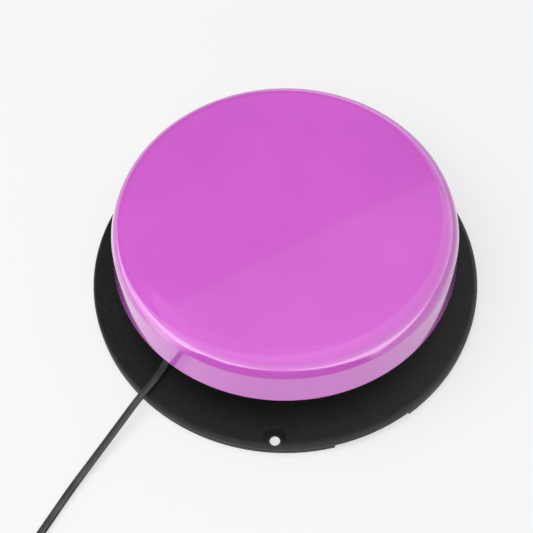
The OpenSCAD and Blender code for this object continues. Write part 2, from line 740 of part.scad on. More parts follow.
// Outer shape of the neat round coil that holds most of the cord
module cord_coil() {
    color([0.14, 0.14, 0.145]) translate(coil_centre) rotate_extrude()
        polygon(bevelled_box(coil_r - coil_half, coil_r + coil_half, coil_z, coil_top, 0.8));
}

// Strap around the coil, with its square lock
module cable_tie() {
    x0 = coil_r - coil_half - tie_gap;
    x1 = coil_r + coil_half + tie_gap;
    z1 = coil_top + tie_gap;
    lock = 3.4;
    color([0.12, 0.12, 0.125]) translate(coil_centre) rotate(tie_angle) {
        rotate_extrude(angle = tie_sweep) difference() {
            translate([x0 - tie_t, 0]) square([x1 - x0 + 2 * tie_t, z1 + tie_t]);
            translate([x0, tie_t - tie_gap]) square([x1 - x0, z1 - tie_t + tie_gap]);
        }
        rotate(tie_sweep / 2) translate([x1 + tie_t / 2, -lock / 2, 2])
            cube([lock - 1, lock, lock]);
    }
}

module cord_end() {
    color([0.14, 0.14, 0.145]) swept_bar(smooth_route(end_route, 2), cord_d, 8);
}

// Round piece of the plug, drawn with its profile along +X from the end of the cord
module plug_piece(profile) {
    translate(plug_axis) rotate([0, 90, 0]) rotate_extrude() polygon(profile);
}

grip_x = tail_l;
collar_x = grip_x + grip_l;
contact_x = collar_x + collar_l;
ring_x = contact_x + sleeve_contact_l;
tip_x = ring_x + ring_l;
plug_end = tip_x + tip_l;

// Flexible tail with four grooves
module plug_tail() {
    grooves = [for (i = [0:3]) let (x = 1.6 + i * (tail_l - 3) / 3.6) [x, x + 0.9]];
    slope = (tail_d / 2 - cord_r - 0.5) / tail_l;
    outer = function (x) cord_r + 0.5 + slope * x;
    color([0.13, 0.13, 0.135]) plug_piece(concat(
        [[0, 0], [outer(0), 0]],
        [for (g = grooves) each [[outer(g[0]), g[0]], [outer(g[0]) - 0.35, g[0]],
            [outer(g[1]) - 0.35, g[1]], [outer(g[1]), g[1]]]],
        [[outer(tail_l), tail_l], [0, tail_l]]
    ));
}

module plug_grip() {
    r = grip_d / 2;
    color([0.12, 0.12, 0.125]) plug_piece([
        [0, grip_x], [tail_d / 2, grip_x], [r - 0.6, grip_x + 2.5], [r, grip_x + 4.5],
        [r, grip_x + 7], [r - 0.5, grip_x + 9], [r - 0.5, collar_x - 4], [r, collar_x - 2.5],
        [r, collar_x - 0.6], [r - 0.6, collar_x], [0, collar_x]
    ]);
}

module plug_sleeve() {
    color([0.8, 0.8, 0.8]) plug_piece([
        [neck_d / 2 + 0.3, collar_x], [collar_d / 2, collar_x],
        [collar_d / 2, contact_x - 0.2], [collar_d / 2 - 0.2, contact_x],
        [contact_d / 2, contact_x], [contact_d / 2, ring_x], [neck_d / 2 + 0.3, ring_x]
    ]);
}

module plug_ring() {
    color([0.06, 0.06, 0.06]) plug_piece([
        [neck_d / 2, collar_x], [neck_d / 2 + 0.28, collar_x], [neck_d / 2 + 0.28, ring_x],
        [contact_d / 2, ring_x], [contact_d / 2, tip_x], [neck_d / 2, tip_x]
    ]);
}

module plug_tip() {
    r = contact_d / 2;
    n = neck_d / 2 - 0.02;
    color([0.8, 0.8, 0.8]) plug_piece([
        [0, collar_x], [n, collar_x], [n, tip_x], [r, tip_x], [r, tip_x + 0.3],
        [r - 0.45, tip_x + 1], [r, tip_x + 1.7], [r - 0.2, tip_x + 2.3],
        [r - 1, plug_end - 0.3], [r - 1.3, plug_end], [0, plug_end]
    ]);
}

cap();
base_shell();
bottom_plate();
rubber_feet();
plate_screws();
return_spring_rear();
return_spring_left();
return_spring_right();
stop_pads();
retaining_washers();
retaining_screws();
switch_case();
switch_lever();
lever_pin();
switch_plunger();
switch_terminals();
switch_screws();
lead_common();
lead_open();
cord_grommet();
cord_clamp();
clamp_screws();
cord();
cord_coil();
cable_tie();
cord_end();
plug_tail();
plug_grip();
plug_sleeve();
plug_ring();
plug_tip();
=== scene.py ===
"""The look of a large round press switch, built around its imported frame.

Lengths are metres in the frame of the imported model. Sizes that follow the part's source
are written in millimetres and multiplied by MM.
"""

import math

import bmesh
import bpy
from mathutils import Matrix, Vector


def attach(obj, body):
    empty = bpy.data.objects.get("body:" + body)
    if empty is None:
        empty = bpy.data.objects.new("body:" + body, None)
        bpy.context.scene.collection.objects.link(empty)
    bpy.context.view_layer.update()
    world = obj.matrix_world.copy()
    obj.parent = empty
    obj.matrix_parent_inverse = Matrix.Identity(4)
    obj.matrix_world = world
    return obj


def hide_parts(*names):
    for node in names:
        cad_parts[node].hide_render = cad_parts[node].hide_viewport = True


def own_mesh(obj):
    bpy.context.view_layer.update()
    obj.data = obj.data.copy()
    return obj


bl_info = {
    "name": "Large round press switch",
    "version": (1, 0, 0),
    "blender": (4, 5, 0),
    "location": "3D Viewport > Sidebar > Press Switch",
    "description": "Dresses the packed frame of a large round press switch",
    "category": "Add Mesh",
}

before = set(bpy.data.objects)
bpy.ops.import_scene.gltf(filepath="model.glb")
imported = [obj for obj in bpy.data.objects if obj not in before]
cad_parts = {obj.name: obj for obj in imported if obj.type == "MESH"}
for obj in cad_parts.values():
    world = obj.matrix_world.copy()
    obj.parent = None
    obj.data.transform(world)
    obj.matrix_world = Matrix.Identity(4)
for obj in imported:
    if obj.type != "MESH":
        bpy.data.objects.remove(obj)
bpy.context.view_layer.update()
MM = 0.001
MERGE_DISTANCE = 1e-6
WHITE = (1.0, 1.0, 1.0, 1.0)

# Heights above the surface that the switch stands on
PLATE_Z = 0.5 * MM
WASHER_Z = 16.7 * MM
RIM_Z = 21.2 * MM
DECK_TOP = 28.8 * MM
SPRING_SEAT = 36.8 * MM

# The circles that posts and stops stand on, and their angles in degrees
POST_CIRCLE = 30 * MM
POST_ANGLES = {"rear": 90, "left": 210, "right": 330}
STOP_CIRCLE = 40 * MM
STOP_ANGLES = (30, 150, 270)

# Where the cord leaves the housing
OUTLET_ANGLE = math.radians(-134)
OUTLET_R = 51.1 * MM
OUTLET_Z = 9 * MM

# The camera, fitted to the outlines of the base and the cap in the photograph
PHOTO_WIDTH_PX = 533.0
FOCAL_LENGTH_PX = 900.0
SENSOR_WIDTH_MM = 36.0
CAMERA_DISTANCE = 0.34543
CAMERA_HEIGHT = math.radians(58.274)
CAMERA_TURN = math.radians(2.948)
CAMERA_PAN = math.radians(1.1475)
CAMERA_TILT = math.radians(0.3744)
CAMERA_ROLL = math.radians(-0.1872)


# ---- shapes ----

def polar(radius, angle, z=0.0):
    """A point at a radius and an angle in radians, at height z."""
    return Vector((radius * math.cos(angle), radius * math.sin(angle), z))


def in_mm(*profile):
    """The points of a profile that is written in millimetres."""
    return [(r * MM, z * MM) for r, z in profile]


def arc(x, z, radius, start, end, steps):
    """Points of an arc in a profile, with angles in degrees."""
    angles = [math.radians(start + (end - start) * i / steps) for i in range(steps + 1)]
    return [(x + radius * math.cos(a), z + radius * math.sin(a)) for a in angles]


def turned(profile, segments, ring=False, place=None):
    """Vertices and faces of a turned body. A profile point on the axis becomes one pole."""
    points, rows = [], []
    for r, z in profile:
        if r < MERGE_DISTANCE:
            rows.append([len(points)])
            points.append(Vector((0, 0, z)))
        else:
            rows.append(range(len(points), len(points) + segments))
            points += [polar(r, math.tau * i / segments, z) for i in range(segments)]
    faces = []
    following = rows[1:] + (rows[:1] if ring else [])
    for low, high in zip(rows, following):
        for i in range(segments):
            k = (i + 1) % segments
            corners = [low[i % len(low)], low[k % len(low)],
                       high[k % len(high)], high[i % len(high)]]
            face = list(dict.fromkeys(corners))
            if len(face) > 2:
                faces.append(face)
    if place is not None:
        points = [place @ p for p in points]
    return points, faces


def block(low, high, place):
    """Vertices and faces of a box between two corners, moved to its place."""
    points = [place @ Vector((x, y, z)) for z in (low[2], high[2]) for y in (low[1], high[1])
              for x in (low[0], high[0])]
    faces = [(0, 2, 3, 1), (4, 5, 7, 6), (0, 1, 5, 4), (2, 6, 7, 3), (0, 4, 6, 2), (1, 3, 7, 5)]
    return points, faces


def helix_ridge(radius, pitch, turns, depth, start_z, place):
    """Vertices and faces of the three-cornered ridge of a screw thread."""
    points, faces = [], []
    steps = 28
    root, half_width, least_ridge = -0.25 * depth, 0.42 * pitch, 0.02
    count = int(turns * steps)
    for i in range(count + 1):
        angle, z = math.tau * i / steps, start_z + pitch * i / steps
        fade = min(1.0, i / steps, (count - i) / steps) * (1 - least_ridge) + least_ridge
        for dr, dz in ((root, -half_width), (depth * fade, 0.0), (root, half_width)):
            points.append(place @ polar(radius + dr, angle, z + dz * fade))
    for i in range(count):
        for k in range(3):
            a, b = 3 * i + k, 3 * i + (k + 1) % 3
            faces.append((a, b, b + 3, a + 3))
    faces += [(2, 1, 0), (3 * count, 3 * count + 1, 3 * count + 2)]
    return points, faces


def finish_mesh(mesh, crease=35.0, recalculate=True):
    """Smooths the faces, with sharp edges past the crease angle, and turns them outwards."""
    work = bmesh.new()
    work.from_mesh(mesh)
    if recalculate:
        bmesh.ops.recalc_face_normals(work, faces=work.faces)
    limit = math.radians(crease)
    for face in work.faces:
        face.smooth = True
    for edge in work.edges:
        edge.smooth = len(edge.link_faces) == 2 and edge.calc_face_angle(0.0) < limit
    work.to_mesh(mesh)
    work.free()


def add_object(name, data):
    """A new object in the scene."""
    obj = bpy.data.objects.new(name, data)
    bpy.context.scene.collection.objects.link(obj)
    return obj


def piece_of(name, parts):
    """One object from several closed bodies."""
    points, faces = [], []
    for some_points, some_faces in parts:
        faces += [[i + len(points) for i in face] for face in some_faces]
        points += some_points
    mesh = bpy.data.meshes.new(name)
    mesh.from_pydata(points, [], faces)
    finish_mesh(mesh)
    return add_object(name, mesh)


def plain(obj):
    """The object with its modifiers worked into a plain mesh."""
    graph = bpy.context.evaluated_depsgraph_get()
    mesh = bpy.data.meshes.new_from_object(obj.evaluated_get(graph), depsgraph=graph)
    mesh.name = obj.data.name + "_mesh"
    obj.modifiers.clear()
    obj.data = mesh
    return obj


def settle(obj, body, material, slot, *nodes):
    """Gives a finished piece its material and body, in place of its CAD nodes. The slot is not
    used.
    """
    obj.data.materials.clear()
    obj.data.materials.append(material)
    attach(obj, body)
    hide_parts(*nodes)
    return obj


def settled_copy(node, name, body, material, slot, crease=28.0):
    """A CAD node's own shape as a finished piece, merged and with smooth curved faces."""
    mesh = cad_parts[node].data.copy()
    mesh.name = name
    mesh.materials.clear()
    work = bmesh.new()
    work.from_mesh(mesh)
    bmesh.ops.remove_doubles(work, verts=work.verts, dist=MERGE_DISTANCE)
    work.to_mesh(mesh)
    work.free()
    finish_mesh(mesh, crease, recalculate=False)
    return settle(add_object(name, mesh), body, material, slot, node)


# ---- node trees ----

class Reading:
    """What comes out of a node, with the usual signs of arithmetic."""

    def __init__(self, recipe, socket):
        self.recipe, self.socket = recipe, socket

    def __add__(self, other):
        return self.recipe.maths("ADD", self, other)

    def __radd__(self, other):
        return self.recipe.maths("ADD", other, self)

    def __sub__(self, other):
        return self.recipe.maths("SUBTRACT", self, other)

    def __rsub__(self, other):
        return self.recipe.maths("SUBTRACT", other, self)

    def __mul__(self, other):
        return self.recipe.maths("MULTIPLY", self, other)

    def __truediv__(self, other):
        return self.recipe.maths("DIVIDE", self, other)

    def least(self, other):
        """The smaller of the two."""
        return self.recipe.maths("MINIMUM", self, other)

    def most(self, other):
        """The larger of the two."""
        return self.recipe.maths("MAXIMUM", self, other)


class Recipe:
    """The nodes of a material, a world or a geometry tree, added one by one."""

    def __init__(self, tree):
        self.tree = tree

    def node(self, kind, settings=None, values=None, out=0):
        """Adds a node: its settings first, then its sockets' values or links."""
        made = self.tree.nodes.new(kind)
        for key, setting in (settings or {}).items():
            setattr(made, key, setting)
        for key, value in (values or {}).items():
            socket = made.inputs[key]
            if isinstance(value, Reading):
                self.tree.links.new(value.socket, socket)
            else:
                socket.default_value = value
        return Reading(self, made.outputs[out]) if made.outputs else None

    def maths(self, operation, *values):
        """One step of arithmetic."""
        return self.node("ShaderNodeMath", {"operation": operation}, dict(enumerate(values)))

    def blend(self, factor, first, second):
        """A mix of two colours."""
        def full(colour):
            return colour if isinstance(colour, Reading) else (*colour[:3], 1.0)
        return self.node("ShaderNodeMix", {"data_type": "RGBA"},
                         {0: factor, 6: full(first), 7: full(second)}, out=2)

    def noise(self, place, size, detail, roughness=0.5):
        """Noise from 0 to 1 whose grains are about as large as size."""
        return self.node("ShaderNodeTexNoise", {"noise_dimensions": "3D"}, {
            "Vector": place, "Scale": 1.0 / size, "Detail": detail, "Roughness": roughness})

    def mapped(self, place, **how):
        """A place that is moved, turned or stretched."""
        values = {key.capitalize(): value for key, value in how.items()}
        return self.node("ShaderNodeMapping", None, {"Vector": place, **values})

    def length(self, vector):
        """The length of a vector."""
        return self.node("ShaderNodeVectorMath", {"operation": "LENGTH"}, {0: vector}, out=1)

    def along(self, vector, direction):
        """How far a vector reaches along a direction."""
        return self.node("ShaderNodeVectorMath", {"operation": "DOT_PRODUCT"},
                         {0: vector, 1: direction}, out=1)

    def slope(self, value, low, high, start=0.0, end=1.0):
        """Value mapped from low..high to start..end, and held at both ends."""
        return self.node("ShaderNodeMapRange", {"interpolation_type": "SMOOTHSTEP"}, {
            "Value": value, "From Min": low, "From Max": high, "To Min": start, "To Max": end})

    def rays(self):
        """1 for a ray of the camera, and 1 for a mirrored or refracted ray."""
        paths = self.tree.nodes.new("ShaderNodeLightPath").outputs
        camera, glossy, through = (Reading(self, paths[name]) for name in (
            "Is Camera Ray", "Is Glossy Ray", "Is Transmission Ray"))
        return camera, glossy.most(through)


def new_material(name):
    """An empty material, its recipe and the place that its textures are read at."""
    material = bpy.data.materials.new(name)
    material.use_nodes = True
    material.node_tree.nodes.clear()
    recipe = Recipe(material.node_tree)
    place = recipe.node("ShaderNodeTexCoord", out=3)
    return material, recipe, place


def finish_material(recipe, shader_inputs, height, depth):
    """Adds the main shader, with a bump of the given depth, and the output."""
    bump = recipe.node("ShaderNodeBump", None, {
        "Strength": 1.0, "Distance": depth, "Height": height})
    shader = recipe.node("ShaderNodeBsdfPrincipled", None, {**shader_inputs, "Normal": bump})
    recipe.node("ShaderNodeOutputMaterial", None, {"Surface": shader})


def gloss_plastic(name, colour, roughness, coat):
    """Polished moulded plastic: faint flow marks, fine wipe marks and a soft orange peel."""
    material, recipe, place = new_material(name)
    drift, peel_depth = 0.03, 0.000012
    flow = recipe.noise(place, 0.045, detail=3.0)
    wiped = recipe.mapped(place, rotation=(0.0, 0.0, 0.7), scale=(1.0, 14.0, 6.0))
    wipe = recipe.noise(wiped, 0.016, detail=4.0)
    peel = recipe.noise(place, 0.006, detail=1.0)
    dark = [c * (1 - drift) for c in colour]
    light = [min(1.0, c * (1 + drift) + drift * 0.12) for c in colour]
    finish_material(recipe, {
        "Base Color": recipe.blend(recipe.slope(flow, 0.3, 0.7), dark, light),
        "Roughness": roughness + (wipe - 0.5) * roughness * 0.9,
        "Coat Weight": coat,
        "Coat Roughness": 0.03,
    }, peel, peel_depth)
    return material


def textured_plastic(name, colour, roughness, grain, depth):
    """Spark-textured plastic: a fine even grain, faint flow marks and rubbed high spots."""
    material, recipe, place = new_material(name)
    fine = recipe.noise(place, grain, detail=2.0, roughness=0.6)
    coarse = recipe.noise(place, grain * 2.7, detail=1.0)
    flow = recipe.noise(place, 0.03, detail=3.0)
    height = fine * 0.7 + coarse * 0.3
    rubbed = [min(1.0, c * 1.5 + 0.004) for c in colour]
    finish_material(recipe, {
        "Base Color": recipe.blend(recipe.slope(height + (flow - 0.5) * 0.2, 0.42, 0.72),
                                   colour, rubbed),
        "Roughness": roughness + (flow - 0.5) * 0.12 + (fine - 0.5) * 0.08,
    }, height, depth)
    return material


def soft_rubber(name, colour, roughness=0.75, sheen=0.35):
    """Matte rubber with a bloom in patches and fine pores."""
    material, recipe, place = new_material(name)
    pore_depth = 0.00002
    bloom = recipe.noise(place, 0.007, detail=3.0)
    pores = recipe.noise(place, 0.0004, detail=2.0)
    pale = [min(1.0, c * 1.7 + 0.01) for c in colour]
    finish_material(recipe, {
        "Base Color": recipe.blend(recipe.slope(bloom, 0.45, 0.8), colour, pale),
        "Roughness": roughness + (bloom - 0.5) * 0.2,
        "Specular IOR Level": sheen,
    }, pores, pore_depth)
    return material


def bright_metal(name, colour, roughness, stretch=(1.0, 1.0, 9.0), grain=0.0012):
    """Drawn or plated metal: fine drawing lines and slightly dulled patches."""
    material, recipe, place = new_material(name)
    line_depth = 0.000008
    lines = recipe.noise(recipe.mapped(place, scale=stretch), grain, detail=4.0)
    patch = recipe.noise(place, 0.006, detail=2.0)
    dull = [c * 0.8 for c in colour]
    finish_material(recipe, {
        "Base Color": recipe.blend(recipe.slope(patch, 0.35, 0.75), colour, dull),
        "Roughness": (roughness + (lines - 0.5) * 0.14
                      + (patch - 0.5) * 0.1).most(0.05).least(0.9),
        "Metallic": 1.0,
    }, lines, line_depth)
    return material


# ---- geometry trees ----

def geometry_tree(name, **inputs):
    """A geometry tree, its recipe, and readings of its inputs in their order."""
    tree = bpy.data.node_groups.new(name, "GeometryNodeTree")
    for label, kind in inputs.items():
        tree.interface.new_socket(name=label, in_out="INPUT", socket_type="NodeSocket" + kind)
    tree.interface.new_socket(name="Geometry", in_out="OUTPUT", socket_type="NodeSocketGeometry")
    recipe = Recipe(tree)
    sockets = tree.nodes.new("NodeGroupInput").outputs
    return tree, recipe, [Reading(recipe, sockets[label]) for label in inputs]


def close_tree(recipe, geometry, material):
    """Realizes the instances, sets the material and adds the group output."""
    real = recipe.node("GeometryNodeRealizeInstances", None, {"Geometry": geometry})
    done = recipe.node("GeometryNodeSetMaterial", None, {"Geometry": real, "Material": material})
    recipe.node("NodeGroupOutput", None, {"Geometry": done})


def run_tree(name, tree, crease=35.0, **values):
    """An object made by a geometry tree with the given inputs, as a plain mesh."""
    obj = add_object(name, bpy.data.meshes.new(name))
    grown = obj.modifiers.new("grown", "NODES")
    grown.node_group = tree
    for item in tree.interface.items_tree:
        if item.in_out == "INPUT":
            grown[item.identifier] = values[item.name]
    obj = plain(obj)
    finish_mesh(obj.data, crease)
    return obj


def ring_tree():
    """Copies of one piece around a circle, all turned outwards."""
    tree, recipe, (piece, count, radius, first, material) = geometry_tree(
        "ring_of_copies", piece="Object", count="Int", radius="Float", first="Float",
        material="Material")
    circle = recipe.node("GeometryNodeMeshCircle", None, {"Vertices": count, "Radius": radius})
    angle = recipe.node("GeometryNodeInputIndex") * math.tau / count
    turn = recipe.node("ShaderNodeCombineXYZ", None, {"Z": angle})
    copies = recipe.node("GeometryNodeInstanceOnPoints", None, {
        "Points": circle,
        "Instance": recipe.node("GeometryNodeObjectInfo", None, {"Object": piece}, out=4),
        "Rotation": recipe.node("FunctionNodeEulerToRotation", None, {"Euler": turn})})
    first_turn = recipe.node("ShaderNodeCombineXYZ", None, {"Z": first})
    whole = recipe.node("GeometryNodeTransform", None, {
        "Geometry": copies, "Rotation": first_turn})
    close_tree(recipe, whole, material)
    return tree


def ring_of(name, pattern, count, radius, first, material):
    """Copies of a pattern around the Z axis as one object, the first at an angle in degrees."""
    ring = run_tree(name, ring_tree(), piece=pattern, count=count, radius=radius,
                    first=math.radians(first), material=material)
    bpy.data.objects.remove(pattern)
    return ring


def spring_tree():
    """A compression spring of round wire with a closed turn at each end."""
    tree, recipe, (radius, wire, turns, low, high, x, y, start, material) = geometry_tree(
        "return_spring", radius="Float", wire="Float", turns="Float", low="Float",
        high="Float", x="Float", y="Float", start="Float", material="Material")
    points, corners, closed_pitch = 201, 12, 1.08
    line = recipe.node("GeometryNodeCurvePrimitiveLine")
    line = recipe.node("GeometryNodeResampleCurve", None, {"Curve": line, "Count": points})
    turn = recipe.node("GeometryNodeSplineParameter") * turns
    angle = turn * math.tau + start
    closed = wire * closed_pitch
    opened = (high - low - closed * 2) / (turns - 2)
    height = (low + closed * turn.least(1.0)
              + opened * (turn - 1.0).most(0.0).least(turns - 2.0)
              + closed * (turn - turns + 1.0).most(0.0))
    place = recipe.node("ShaderNodeCombineXYZ", None, {
        "X": x + recipe.maths("COSINE", angle) * radius,
        "Y": y + recipe.maths("SINE", angle) * radius, "Z": height})
    line = recipe.node("GeometryNodeSetPosition", None, {"Geometry": line, "Position": place})
    section = recipe.node("GeometryNodeCurvePrimitiveCircle", {"mode": "RADIUS"}, {
        "Resolution": corners, "Radius": wire * 0.5})
    swept = recipe.node("GeometryNodeCurveToMesh", None, {
        "Curve": line, "Profile Curve": section, "Fill Caps": True})
    close_tree(recipe, swept, material)
    return tree


# ---- settings ----

class CapSettings(bpy.types.PropertyGroup):
    """Finish and colour of the cap"""
    colour: bpy.props.FloatVectorProperty(
        name="Colour", description="Colour of the cap's plastic", subtype="COLOR", size=3,
        min=0.0, max=1.0, default=(0.66, 0.12, 0.64))
    roughness: bpy.props.FloatProperty(
        name="Roughness", description="Roughness of the polished plastic", subtype="FACTOR",
        min=0.02, max=0.6, default=0.1)
    coat: bpy.props.FloatProperty(
        name="Gloss", description="Strength of the clear gloss", subtype="FACTOR",
        min=0.0, max=1.0, default=1.0)
    rim_rounding: bpy.props.FloatProperty(
        name="Rim rounding", description="Radius of the lower rim's edges", unit="LENGTH",
        min=0.0001, max=0.001, default=0.5 * MM)


class BaseSettings(bpy.types.PropertyGroup):
    """Colour and grain of the base"""
    colour: bpy.props.FloatVectorProperty(
        name="Colour", description="Colour of the base's plastic", subtype="COLOR", size=3,
        min=0.0, max=1.0, default=(0.0070, 0.0068, 0.0072))
    roughness: bpy.props.FloatProperty(
        name="Roughness", description="Roughness of the textured plastic", subtype="FACTOR",
        min=0.1, max=1.0, default=0.5)
    grain: bpy.props.FloatProperty(
        name="Grain", description="Size of the surface grain", unit="LENGTH",
        min=0.0001, max=0.003, default=0.7 * MM)


class SpringSettings(bpy.types.PropertyGroup):
    """Sizes of the return springs"""
    wire: bpy.props.FloatProperty(
        name="Wire", description="Diameter of the spring wire", unit="LENGTH",
        min=0.0005, max=0.001, default=0.9 * MM)
    turns: bpy.props.FloatProperty(
        name="Turns", description="Number of turns in a spring", min=4.0, max=6.0, default=5.0)


class CordSettings(bpy.types.PropertyGroup):
    """Sizes and colour of the cord"""
    colour: bpy.props.FloatVectorProperty(
        name="Colour", description="Colour of the cord's jacket", subtype="COLOR", size=3,
        min=0.0, max=1.0, default=(0.036, 0.035, 0.036))
    diameter: bpy.props.FloatProperty(
        name="Diameter", description="Diameter of the cord", unit="LENGTH",
        min=0.0024, max=0.0027, default=2.6 * MM)
    length: bpy.props.FloatProperty(
        name="Length", description="Stated length of the cord, its coil included",
        unit="LENGTH", min=1.3, max=1.6, default=1.46)


class StageSettings(bpy.types.PropertyGroup):
    """Camera, floor and lamps"""
    lens: bpy.props.FloatProperty(
        name="Lens", description="Focal length of the camera, in millimetres",
        min=20.0, max=200.0, default=FOCAL_LENGTH_PX / PHOTO_WIDTH_PX * SENSOR_WIDTH_MM)
    floor: bpy.props.FloatVectorProperty(
        name="Floor", description="Colour of the floor", subtype="COLOR", size=3,
        min=0.0, max=1.0, default=(0.85, 0.85, 0.85))
    lift: bpy.props.FloatProperty(
        name="Paleness", description="Light added to the floor for the camera alone",
        subtype="FACTOR", min=0.0, max=1.0, default=0.555)
    shading: bpy.props.FloatProperty(
        name="Shading", description="Share of the floor's own shading that the camera sees",
        subtype="FACTOR", min=0.0, max=1.0, default=0.44)
    # The front cards are a painted glow on the floor that only mirrored rays see; they are no lamp
    painted_card_glow: bpy.props.FloatProperty(
        name="Front cards", description="Strength of the cards that gloss mirrors at the front",
        min=0.0, max=6.0, default=2.0)
    world: bpy.props.FloatProperty(
        name="Room light", description="Strength of the even light from all round",
        min=0.0, max=2.0, default=0.35)
    softbox: bpy.props.FloatProperty(
        name="Softbox", description="Power of the softbox overhead", subtype="POWER",
        min=0.0, max=200.0, default=11.2)


class PressSwitchSettings(bpy.types.PropertyGroup):
    """All settings of the press switch"""
    cap: bpy.props.PointerProperty(name="Cap", type=CapSettings)
    base: bpy.props.PointerProperty(name="Base", type=BaseSettings)
    springs: bpy.props.PointerProperty(name="Springs", type=SpringSettings)
    cord: bpy.props.PointerProperty(name="Cord", type=CordSettings)
    stage: bpy.props.PointerProperty(name="Stage", type=StageSettings)


# ---- stage ----

def camera_matrix():
    """The camera's place and turn: in front of the part and above it, then aimed."""
    back = Vector((0, -math.cos(CAMERA_HEIGHT), math.sin(CAMERA_HEIGHT)))
    forward, right = -back, Vector((1, 0, 0))
    up = right.cross(forward)
    pan = Matrix.Rotation(CAMERA_PAN, 3, up)
    forward, right = pan @ forward, pan @ right
    tilt = Matrix.Rotation(CAMERA_TILT, 3, right)
    forward, up = tilt @ forward, tilt @ up
    across = right * math.cos(CAMERA_ROLL) + up * math.sin(CAMERA_ROLL)
    upward = -right * math.sin(CAMERA_ROLL) + up * math.cos(CAMERA_ROLL)
    aimed = Matrix((across, upward, -forward)).transposed().to_4x4()
    aimed.translation = back * CAMERA_DISTANCE + Vector((0, 0, PLATE_Z))
    return Matrix.Rotation(CAMERA_TURN, 4, "Z") @ aimed


